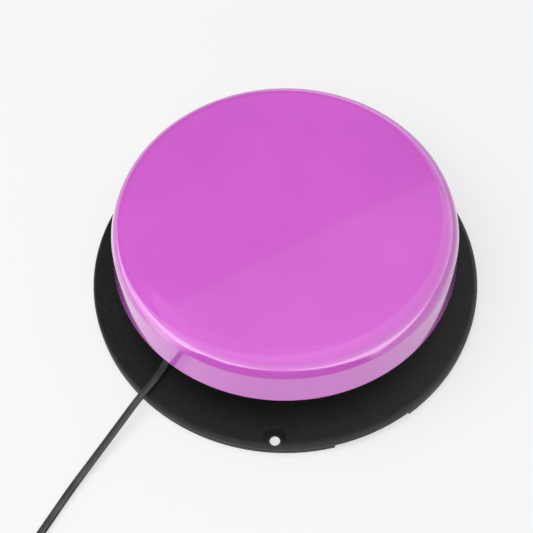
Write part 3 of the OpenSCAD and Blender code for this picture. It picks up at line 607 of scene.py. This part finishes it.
class PRESSSWITCH_OT_stage(bpy.types.Operator):
    """Makes the camera, the floor and the lamps"""
    bl_idname = "press_switch.stage"
    bl_label = "Stage"

    def execute(self, context):
        chosen = context.scene.press_switch.stage
        context.scene.view_settings.view_transform = "Standard"
        lens = bpy.data.cameras.new("camera")
        lens.lens = chosen.lens
        lens.sensor_width = SENSOR_WIDTH_MM
        lens.clip_start = 0.01
        camera = add_object("camera", lens)
        camera.matrix_world = camera_matrix()
        context.scene.camera = camera
        self.make_floor(chosen)
        self.make_room(context.scene, chosen)
        self.make_softbox(chosen)
        return {"FINISHED"}

    def make_floor(self, chosen):
        """A floor that is white for its light, pale for the camera, and what gloss mirrors.

        Mirrored rays meet a dark patch around the base, a dark pool in front of it and
        bright cards past the front and the front left of the patch. The pool is a painted
        dark reflection and the cards are a painted glow, no lamp; only mirrored rays see them.
        """
        half_width, patch_glow, painted_dark_reflection, floor_shade = 2, 0.08, 0.01, 0.7
        patch_edge, pool_edge, middle = (0.100, 0.112), (0.082, 0.102), (0.03, 0.12)
        front_edge, left_edge, left_share = (0.085, 0.105), (0.088, 0.11), 0.45
        material, recipe, place = new_material("studio_floor")
        by_camera, by_mirror = recipe.rays()
        away = recipe.length(place)
        past_patch = recipe.slope(away, *patch_edge)
        # The pool is a painted dark reflection: a dark ellipse in front of the base that only
        # mirrored rays see
        from_pool = recipe.length(recipe.mapped(
            place, location=(0.0, 0.105, 0.0), scale=(1.0, 0.75, 1.0)))
        past_pool = recipe.slope(from_pool, *pool_edge)

        # The cards are a painted glow in front and at the front left, outside the pool, that only
        # mirrored rays see
        front = recipe.slope(recipe.along(place, (0.0, -1.0, 0.0)), *front_edge)
        left = recipe.slope(recipe.along(place, (-0.5, -0.87, 0.0)), *left_edge) * left_share
        across = recipe.length(recipe.mapped(place, scale=(1.0, 0.0, 0.0)))
        aside = recipe.slope(across, *middle)
        painted_card_glow = front.most(left) * past_pool * (aside * chosen.painted_card_glow + chosen.painted_card_glow * 0.5)

        # Past the patch, mirrored rays see the painted dark reflection in the pool and grey floor
        # elsewhere
        mirrored = recipe.blend(past_pool, [painted_dark_reflection] * 3, [floor_shade] * 3)
        speck = recipe.noise(place, 0.004, detail=2.0)
        seen = recipe.blend(speck, [c * chosen.shading for c in chosen.floor],
                            [c * chosen.shading * 0.99 for c in chosen.floor])
        matte = recipe.node("ShaderNodeBsdfPrincipled", None, {
            "Base Color": recipe.blend(
                by_camera, recipe.blend(by_mirror * past_patch, chosen.floor, mirrored), seen),
            "Roughness": 0.9, "Specular IOR Level": 0.1})
        paling = recipe.slope(away, 0.08, 1.3, 0.0, 0.17)
        # Emission: the backdrop's paleness for the camera, and for mirrored rays a faint glow near
        # the base and the cards' painted glow
        glow = recipe.node("ShaderNodeEmission", None, {
            "Color": WHITE,
            "Strength": by_camera * (paling + chosen.lift)
                        + by_mirror * (1 - past_patch) * patch_glow
                        + by_mirror * past_patch * painted_card_glow})
        both = recipe.node("ShaderNodeAddShader", None, {0: matte, 1: glow})
        recipe.node("ShaderNodeOutputMaterial", None, {"Surface": both})

        mesh = bpy.data.meshes.new("floor")
        mesh.from_pydata([(x * half_width, y * half_width, 0) for x, y in (
            (-1, -1), (1, -1), (1, 1), (-1, 1))], [], [(0, 1, 2, 3)])
        mesh.materials.append(material)
        add_object("floor", mesh)

    def make_room(self, scene, chosen):
        """Even light from all round, a pale backdrop, and the walls that gloss mirrors."""
        backdrop, wall_glow, least_glow = 0.93, 0.35, 0.05
        wall_side, tent_side, down = (0.492, -0.727, 0.478), (0.504, -0.429, -0.75), (0, 0, -1)
        world = bpy.data.worlds.new("studio")
        scene.world = world
        world.use_nodes = True
        world.node_tree.nodes.clear()
        recipe = Recipe(world.node_tree)
        by_camera, by_mirror = recipe.rays()
        toward = recipe.node("ShaderNodeTexCoord")
        wall = recipe.slope(recipe.along(toward, wall_side), -0.007, 0.007)
        tent = recipe.slope(recipe.along(toward, tent_side), -0.62, -0.44)
        low = recipe.slope(recipe.along(toward, down), -0.5, 0.05)
        mirrored = wall * wall_glow + tent * (low * 0.85 + 0.57) + least_glow
        light = recipe.node("ShaderNodeBackground", None, {
            "Color": WHITE,
            "Strength": (1 - by_camera - by_mirror) * chosen.world + by_camera * backdrop
                        + by_mirror * mirrored})
        recipe.node("ShaderNodeOutputWorld", None, {"Surface": light})

    def make_softbox(self, chosen):
        """A large lamp overhead that aims at the part and that gloss doesn't mirror."""
        lamp = bpy.data.lights.new("softbox", "AREA")
        lamp.shape = "RECTANGLE"
        lamp.size, lamp.size_y = 1.4, 1.2
        lamp.energy = chosen.softbox
        box = add_object("softbox", lamp)
        box.location = (-0.25, -0.25, 0.95)
        box.visible_glossy = False
        box.rotation_mode = "QUATERNION"
        box.rotation_quaternion = Vector(box.location).to_track_quat("Z", "Y")


# ---- cap ----

class PRESSSWITCH_OT_cap(bpy.types.Operator):
    """Makes the glossy cap with its posts, stem and ribs"""
    bl_idname = "press_switch.cap"
    bl_label = "Cap"

    def execute(self, context):
        chosen = context.scene.press_switch.cap
        material = gloss_plastic("cap_gloss_plastic", chosen.colour, chosen.roughness,
                                 chosen.coat)
        parts = [self.dish(chosen.rim_rounding)] + self.inner_parts()
        settle(piece_of("cap_dish", parts), "cap", material, "cap_plastic", "cap")
        return {"FINISHED"}

    def dish(self, rounding):
        """The turned wall: skirt, leaning band, round shoulder and shallow crown, both faces."""
        draft_degrees, lean_degrees = 7, 20
        cap_r, cap_h, skirt_h, shoulder_r = 62.5 * MM, 21 * MM, 13.5 * MM, 8 * MM
        wall, rise, bend = 2.4 * MM, 0.5 * MM, 0.15 * MM
        draft, lean = math.radians(draft_degrees), math.radians(lean_degrees)
        shoulder_z = RIM_Z + cap_h - shoulder_r

        # A straight line of the wall is kept as its distance from the origin along its normal
        skirt_reach = cap_r * math.cos(draft) + RIM_Z * math.sin(draft)
        band_reach = ((cap_r - skirt_h * math.tan(draft)) * math.cos(lean)
                      + (RIM_Z + skirt_h) * math.sin(lean))
        shoulder_x = (band_reach - shoulder_r - shoulder_z * math.sin(lean)) / math.cos(lean)
        crown_r = (shoulder_x ** 2 + (shoulder_r + rise) ** 2 - shoulder_r ** 2) / (2 * rise)
        crown_z = shoulder_z + shoulder_r + rise - crown_r
        edge = math.degrees(math.atan2(shoulder_z - crown_z, shoulder_x))

        def face(offset):
            """The rim's radius, and the points from the rim to the axis, inwards by offset."""
            skirt, band, spread = skirt_reach - offset, band_reach - offset, math.sin(lean - draft)
            foot = Vector(((skirt - RIM_Z * math.sin(draft)) / math.cos(draft), RIM_Z))
            line = Vector(((skirt * math.sin(lean) - band * math.sin(draft)) / spread,
                           (band * math.cos(draft) - skirt * math.cos(lean)) / spread))
            shoulder = arc(shoulder_x, shoulder_z, shoulder_r - offset, lean_degrees, edge, 40)
            crown = arc(0, crown_z, crown_r - offset, edge, 90, 24)
            top = Vector(shoulder[0])
            above = (top - line).normalized() * bend
            below = (foot - line).normalized() * bend
            wall_line = [foot.lerp(line, t) for t in (0.06, 0.2, 0.4, 0.6, 0.8)]
            wall_line += [line + below, line + (below + above) * 0.18, line + above]
            wall_line += [line.lerp(top, t) for t in (0.4, 0.7)]
            return foot.x, ([tuple(p) for p in wall_line] + shoulder + crown[1:-1]
                            + [(0.0, crown[-1][1])])

        outer_r, outer = face(0.0)
        inner_r, inner = face(wall)
        e = rounding
        rim = [(inner_r, RIM_Z + e), (inner_r + e * 0.3, RIM_Z + e * 0.3), (inner_r + e, RIM_Z),
               (outer_r - e, RIM_Z), (outer_r - e * 0.32, RIM_Z + e * 0.28),
               (outer_r - e * 0.12, RIM_Z + e)]
        return turned(list(reversed(inner)) + rim + outer, 256)

    def inner_parts(self):
        """Guide posts with their spring bosses, stop bosses, the stem and the ribs."""
        # In millimetres. The roots lie inside the cap's wall
        root, seat = 40.5, SPRING_SEAT / MM
        post_r, post_end, boss_r, bore_r, bore_end = 3.5, 17.7, 7, 1.47, 27.7
        stop_r, stop_z, chamfer = 4, 32.35, 0.3
        stem_r, stem_ball_z, stem_step_z = 2, 26.64, 32
        parts = []
        for post_angle, stop_angle in zip(POST_ANGLES.values(), STOP_ANGLES):
            post = Matrix.Translation(polar(POST_CIRCLE, math.radians(post_angle)))
            parts.append(turned(in_mm(
                (0, bore_end), (bore_r, bore_end), (bore_r, post_end),
                (post_r - chamfer, post_end), (post_r, post_end + chamfer),
                (post_r, seat - 0.4), (post_r + 0.15, seat), (boss_r - 0.25, seat),
                (boss_r, seat + 0.25), (boss_r, root), (0, root)), 48, place=post))
            stop = Matrix.Translation(polar(STOP_CIRCLE, math.radians(stop_angle)))
            parts.append(turned(in_mm(
                (0, stop_z), (stop_r - chamfer, stop_z), (stop_r, stop_z + chamfer),
                (stop_r, root), (0, root)), 40, place=stop))
        ball = arc(0, stem_ball_z, stem_r, -80, 0, 8)
        parts.append(turned(in_mm(
            (0, stem_ball_z - stem_r), *ball, (stem_r, stem_step_z - 0.2),
            (stem_r + 0.2, stem_step_z), (stop_r - chamfer, stem_step_z),
            (stop_r, stem_step_z + chamfer), (stop_r, root), (0, root)), 40))
        rib_t, rib_h, ceiling, into_wall, rib_start, rib_end = (
            size * MM for size in (1.6, 2.4, 39.8, 0.6, 2, 52.5))
        for i in range(6):
            parts.append(block((rib_start, -rib_t / 2, ceiling - rib_h),
                               (rib_end, rib_t / 2, ceiling + into_wall),
                               Matrix.Rotation(math.radians(60 * i), 4, "Z")))
        return parts


# ---- base ----

class PRESSSWITCH_OT_base(bpy.types.Operator):
    """Makes the shell, the bottom plate and the rubber feet"""
    bl_idname = "press_switch.base"
    bl_label = "Base"

    def execute(self, context):
        chosen = context.scene.press_switch.base
        shell = textured_plastic("shell_textured_plastic", chosen.colour, chosen.roughness,
                                 chosen.grain, depth=0.00007)
        settled_copy("base_shell", "shell", "base", shell, "shell_plastic")
        under = textured_plastic("plate_textured_plastic", [c * 0.9 for c in chosen.colour],
                                 chosen.roughness + 0.05, chosen.grain * 1.3, depth=0.00003)
        settled_copy("bottom_plate", "lower_plate", "base", under, "plate_plastic")
        rubber = soft_rubber("foot_rubber", (0.03, 0.03, 0.031))
        foot_r, foot_h, foot_circle, first_foot = 6, 1.5, 60 * MM, 45
        foot = piece_of("foot_pattern", [turned(in_mm(
            (0, 0), (4.6, 0), (5.0, 0.12), (5.4, 0), (foot_r - 0.25, 0), (foot_r, 0.25),
            (foot_r, foot_h), (0, foot_h)), 48)])
        feet = ring_of("feet", foot, 4, foot_circle, first_foot, rubber)
        settle(feet, "base", rubber, "foot_rubber", "rubber_feet")
        return {"FINISHED"}


# ---- springs and stops ----

class PRESSSWITCH_OT_springs(bpy.types.Operator):
    """Makes the three return springs and the rubber stop pads"""
    bl_idname = "press_switch.springs"
    bl_label = "Springs and stops"

    def execute(self, context):
        chosen = context.scene.press_switch.springs
        spring_r, end_gap = 5 * MM, 0.02 * MM
        steel = bright_metal("spring_wire", (0.6, 0.61, 0.63), 0.3, stretch=(1, 1, 1),
                             grain=0.0006)
        tree = spring_tree()
        for side, degrees in POST_ANGLES.items():
            angle = math.radians(degrees)
            centre = polar(POST_CIRCLE, angle)
            spring = run_tree(
                "spring_" + side, tree, crease=60, radius=spring_r, wire=chosen.wire,
                turns=chosen.turns, low=DECK_TOP + end_gap + chosen.wire / 2,
                high=SPRING_SEAT - end_gap - chosen.wire / 2, x=centre.x, y=centre.y,
                start=angle, material=steel)
            settle(spring, "base", steel, "spring_steel", "return_spring_" + side)
            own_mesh(spring)
        rubber = soft_rubber("pad_rubber", (0.045, 0.045, 0.046), roughness=0.8)
        pad_r, pad_h = 4.5, 1.5
        pad = piece_of("pad_pattern", [turned(in_mm(
            (0, 0), (pad_r, 0), (pad_r, pad_h - 0.3), (pad_r - 0.1, pad_h - 0.1),
            (pad_r - 0.3, pad_h), (0, pad_h)), 40, place=Matrix.Translation((0, 0, DECK_TOP)))])
        pads = ring_of("pads", pad, 3, STOP_CIRCLE, STOP_ANGLES[0], rubber)
        settle(pads, "base", rubber, "pad_rubber", "stop_pads")
        return {"FINISHED"}


# ---- fasteners ----

HEAD_R = 2.8 * MM
THREAD_R = 1.45 * MM
THREAD_PITCH = 1.1 * MM
THREAD_DEPTH = THREAD_R * 0.18


def screw_body(length, head_h, place):
    """A pan-head screw along -Z, as the bodies of its shank and its thread."""
    core_r, point_h = THREAD_R * 0.82, 0.8 * MM
    plain_h, thread_z = 1.4 * MM, -length + 0.9 * MM
    shank = turned([
        (0, -length), (THREAD_R * 0.45, -length + 0.1 * MM), (core_r, -length + point_h),
        (core_r, 0), (HEAD_R * 0.98, 0), (HEAD_R, 0.12 * MM), (HEAD_R, head_h * 0.45),
        (HEAD_R * 0.94, head_h * 0.7), (HEAD_R * 0.8, head_h * 0.92), (HEAD_R * 0.62, head_h),
        (0, head_h)], 48, place=place)
    turns = (length - plain_h) / THREAD_PITCH
    return [shank, helix_ridge(core_r, THREAD_PITCH, turns, THREAD_DEPTH, thread_z, place)]


def with_recess(obj, place, width, depth):
    """The screw with a cross recess cut at a place whose Z axis leads out of its head."""
    cutter = piece_of("cutter", [
        block((-width / 2, -width / 8, -depth), (width / 2, width / 8, 1 * MM),
              place @ Matrix.Rotation(turn, 4, "Z")) for turn in (0, math.pi / 2)])
    cut = obj.modifiers.new("recess", "BOOLEAN")
    cut.operation, cut.solver, cut.object = "DIFFERENCE", "EXACT", cutter
    cut.use_self = True
    obj = plain(obj)
    bpy.data.objects.remove(cutter)
    finish_mesh(obj.data, recalculate=False)
    return obj


class PRESSSWITCH_OT_fasteners(bpy.types.Operator):
    """Makes the screws and the retaining washers"""
    bl_idname = "press_switch.fasteners"
    bl_label = "Screws and washers"

    def execute(self, context):
        zinc = bright_metal("zinc_plate", (0.5, 0.51, 0.54), 0.38)

        def screws(name, node, body, length, head_h, z, radius, first):
            """Three screws from below, with the undersides of their heads at height z."""
            place = Matrix.Translation((0, 0, z)) @ Matrix.Rotation(math.pi, 4, "X")
            screw = piece_of(name + "_pattern", screw_body(length, head_h, place))
            screw = with_recess(screw, place @ Matrix.Translation((0, 0, head_h)),
                                HEAD_R * 1.1, head_h * 0.5)
            settle(ring_of(name, screw, 3, radius, first, zinc), body, zinc, "screw_steel", node)

        screws("plate_fixings", "plate_screws", "base", length=12 * MM, head_h=0.8 * MM,
               z=1.5 * MM, radius=42 * MM, first=30)
        screws("retaining_fixings", "retaining_screws", "cap", length=10 * MM,
               head_h=1.7 * MM, z=WASHER_Z, radius=POST_CIRCLE, first=90)
        hole_r, washer_r, washer_t, burr, edge = 1.6, 5.5, 1, 0.05, 0.15
        washer = piece_of("washer_pattern", [turned(in_mm(
            (hole_r, burr), (hole_r + burr, 0), (washer_r - edge, 0), (washer_r, edge),
            (washer_r, washer_t - burr), (washer_r - burr, washer_t), (hole_r + edge, washer_t),
            (hole_r, washer_t - edge)), 48, ring=True,
            place=Matrix.Translation((0, 0, WASHER_Z)))])
        plated = bright_metal("washer_plate", (0.62, 0.63, 0.65), 0.3)
        washers = ring_of("washers", washer, 3, POST_CIRCLE, 90, plated)
        settle(washers, "cap", plated, "washer_steel", "retaining_washers")
        for node, name in (("switch_screws", "switch_fixings"), ("clamp_screws", "clamp_fixings")):
            settled_copy(node, name, "base", zinc, "screw_steel")
        return {"FINISHED"}


# ---- snap switch ----

class PRESSSWITCH_OT_snap_switch(bpy.types.Operator):
    """Makes the snap switch with its lever, pin, plunger and terminals"""
    bl_idname = "press_switch.snap_switch"
    bl_label = "Snap switch"

    def execute(self, context):
        case = textured_plastic("switch_case_plastic", (0.014, 0.014, 0.016), 0.4, 0.3 * MM,
                                depth=0.00001)
        settled_copy("switch_case", "switch_body", "base", case, "case_plastic")
        strip = bright_metal("lever_strip", (0.66, 0.67, 0.69), 0.28, stretch=(1, 12, 1))
        settled_copy("switch_lever", "lever", "lever", strip, "lever_steel")
        settled_copy("lever_pin", "pivot_pin", "base", strip, "lever_steel")
        red = gloss_plastic("plunger_plastic", (0.5, 0.03, 0.02), 0.3, coat=0.2)
        settled_copy("switch_plunger", "plunger", "plunger", red, "plunger_plastic")
        tinned = bright_metal("tinned_brass", (0.74, 0.68, 0.5), 0.35)
        settled_copy("switch_terminals", "terminals", "base", tinned, "terminal_brass")
        return {"FINISHED"}


# ---- wiring ----

class PRESSSWITCH_OT_wiring(bpy.types.Operator):
    """Makes the inner leads, the grommet and the cord clamp"""
    bl_idname = "press_switch.wiring"
    bl_label = "Leads, grommet and clamp"

    def execute(self, context):
        red = gloss_plastic("red_insulation", (0.45, 0.02, 0.02), 0.35, coat=0.1)
        white = gloss_plastic("white_insulation", (0.68, 0.68, 0.66), 0.35, coat=0.1)
        settled_copy("lead_common", "red_lead", "base", red, "lead_red", crease=50)
        settled_copy("lead_open", "white_lead", "base", white, "lead_white", crease=50)
        rubber = soft_rubber("grommet_rubber", (0.022, 0.022, 0.024))
        settled_copy("cord_grommet", "grommet", "base", rubber, "grommet_rubber")
        nylon = textured_plastic("natural_nylon", (0.6, 0.59, 0.54), 0.45, 0.4 * MM,
                                 depth=0.00001)
        settled_copy("cord_clamp", "clamp_bar", "base", nylon, "clamp_nylon")
        return {"FINISHED"}


# ---- cord ----

def smooth_route(points, steps=4):
    """Points of a smooth curve through the given ones."""
    made = []
    last = len(points) - 1
    for i in range(last):
        a, b = points[max(i - 1, 0)], points[i]
        c, d = points[i + 1], points[min(i + 2, last)]
        for k in range(steps):
            t = k / steps
            made.append(0.5 * (2 * b + (c - a) * t + (2 * a - 5 * b + 4 * c - d) * t * t
                               + (3 * b - a - 3 * c + d) * t ** 3))
    return made + [points[last]]


def coil_points():
    """The coil's turns in millimetres, wound over a grid of columns and rows."""
    centre, middle_r, low_z = Vector((-70.6, -133.5, 0)), 13.8, 1.9
    columns, rows, pitch = 4, 4, 2.7
    start, total, step = 149.0, 121.0 + 15 * 360.0, 12.0
    crossing = 0.12  # the share of a turn in which the cord goes over to the next place

    def turn_at(index):
        row, place = divmod(index, columns)
        column = columns - 1 - place if row % 2 == 0 else place
        return middle_r + pitch * (column - (columns - 1) / 2), low_z + pitch * row

    coil = []
    for i in range(int(total / step) + 1):
        degrees = min(step * i, total)
        index, share = int(degrees // 360), degrees % 360 / 360
        (r0, z0), (r1, z1) = turn_at(index), turn_at(min(index + 1, columns * rows - 1))
        t = max(0.0, (share - 1 + crossing) / crossing)
        t = t * t * (3 - 2 * t)
        coil.append(centre + polar(r0 + (r1 - r0) * t, math.radians(start + degrees),
                                   z0 + (z1 - z0) * t))
    return coil


def cord_points():
    """The cord's whole centreline: its way out, its coil and its free end."""
    inside = [polar(r, OUTLET_ANGLE, OUTLET_Z / MM) for r in (34, 40, 47, 51.5, 53)]
    way_out = inside + [Vector(p) for p in (
        (-38.6, -41.2, 8.1), (-40.8, -45.8, 7), (-43.5, -51, 6.88), (-46.4, -55.5, 6.8),
        (-49.2, -59.8, 6.2), (-53, -66, 5.1), (-56.9, -72.3, 3.9), (-62, -80.6, 2.5),
        (-66.8, -88.8, 1.6), (-71, -97.1, 1.35), (-74, -103.2, 1.35), (-77.6, -110.3, 1.4),
        (-81.6, -117.3, 1.7), (-83.9, -121.1, 1.85))]
    free_end = [Vector(p) for p in (
        (-65.6, -150.9, 9.6), (-60.6, -149.9, 7.2), (-55.6, -148.8, 5.6), (-51.6, -148, 4.7),
        (-48.6, -147.8, 4.3), (-45.6, -147.8, 4.3))]
    return [p * MM for p in smooth_route(way_out) + coil_points() + smooth_route(free_end)]


class PRESSSWITCH_OT_cord(bpy.types.Operator):
    """Makes the cord with its coil and tie, and the plug"""
    bl_idname = "press_switch.cord"
    bl_label = "Cord and plug"

    def execute(self, context):
        chosen = context.scene.press_switch.cord
        jacket = soft_rubber("cord_jacket", chosen.colour, roughness=0.36, sheen=0.7)
        points = cord_points()
        line = bpy.data.curves.new("cord_line", "CURVE")
        line.dimensions = "3D"
        line.bevel_depth = chosen.diameter / 2
        line.bevel_resolution = 4
        line.use_fill_caps = True
        spline = line.splines.new("POLY")
        spline.points.add(len(points) - 1)
        for point, p in zip(spline.points, points):
            point.co = (*p, 1.0)
        spline.use_smooth = True
        cord = add_object("cord_line", line)
        settle(cord, "base", jacket, "cord_jacket", "cord", "cord_coil", "cord_end")
        pieces = self.make_plug()
        nylon = textured_plastic("tie_nylon", (0.015, 0.015, 0.016), 0.4, 0.3 * MM,
                                 depth=0.00001)
        pieces.append(settled_copy("cable_tie", "tie", "base", nylon, "tie_nylon"))
        polar(OUTLET_R, OUTLET_ANGLE, OUTLET_Z)
        return {"FINISHED"}

    def make_plug(self):
        """The plug's pieces, from the end of the cord to the tip."""
        moulded = textured_plastic("plug_plastic", (0.018, 0.018, 0.019), 0.42, 0.35 * MM,
                                   depth=0.000012)
        nickel = bright_metal("nickel_plate", (0.72, 0.7, 0.66), 0.16, stretch=(9, 1, 1),
                              grain=0.0008)
        ring = gloss_plastic("insulating_ring", (0.012, 0.012, 0.013), 0.35, coat=0.0)
        return [settled_copy(node, name, "base", material, slot)
                for node, name, material, slot in (
                    ("plug_tail", "strain_relief", moulded, "plug_rubber"),
                    ("plug_grip", "plug_body", moulded, "plug_rubber"),
                    ("plug_sleeve", "sleeve_contact", nickel, "contact_metal"),
                    ("plug_ring", "contact_ring", ring, "ring_plastic"),
                    ("plug_tip", "tip_contact", nickel, "contact_metal"))]


# ---- panel and registration ----

OPERATORS = (
    PRESSSWITCH_OT_stage, PRESSSWITCH_OT_cap, PRESSSWITCH_OT_base, PRESSSWITCH_OT_springs,
    PRESSSWITCH_OT_fasteners, PRESSSWITCH_OT_snap_switch, PRESSSWITCH_OT_wiring,
    PRESSSWITCH_OT_cord)


class PRESSSWITCH_PT_panel(bpy.types.Panel):
    """Lists the press switch's settings and steps"""
    bl_label = "Press switch"
    bl_idname = "PRESSSWITCH_PT_panel"
    bl_space_type = "VIEW_3D"
    bl_region_type = "UI"
    bl_category = "Press Switch"

    def draw(self, context):
        for name in ("cap", "base", "springs", "cord", "stage"):
            box = self.layout.box()
            box.label(text=name.capitalize())
            group = getattr(context.scene.press_switch, name)
            for key in group.bl_rna.properties.keys():
                if key not in {"rna_type", "name"}:
                    box.prop(group, key)
        for operator in OPERATORS:
            self.layout.operator(operator.bl_idname)


CLASSES = (CapSettings, BaseSettings, SpringSettings, CordSettings, StageSettings,
           PressSwitchSettings, *OPERATORS, PRESSSWITCH_PT_panel)


def register():
    for each in CLASSES:
        bpy.utils.register_class(each)
    bpy.types.Scene.press_switch = bpy.props.PointerProperty(type=PressSwitchSettings)


def unregister():
    del bpy.types.Scene.press_switch
    for each in reversed(CLASSES):
        bpy.utils.unregister_class(each)


def main():
    """Makes everything in order."""
    register()
    bpy.ops.press_switch.stage()
    bpy.ops.press_switch.cap()
    bpy.ops.press_switch.base()
    bpy.ops.press_switch.springs()
    bpy.ops.press_switch.fasteners()
    bpy.ops.press_switch.snap_switch()
    bpy.ops.press_switch.wiring()
    bpy.ops.press_switch.cord()


if __name__ == "__main__":
    main()
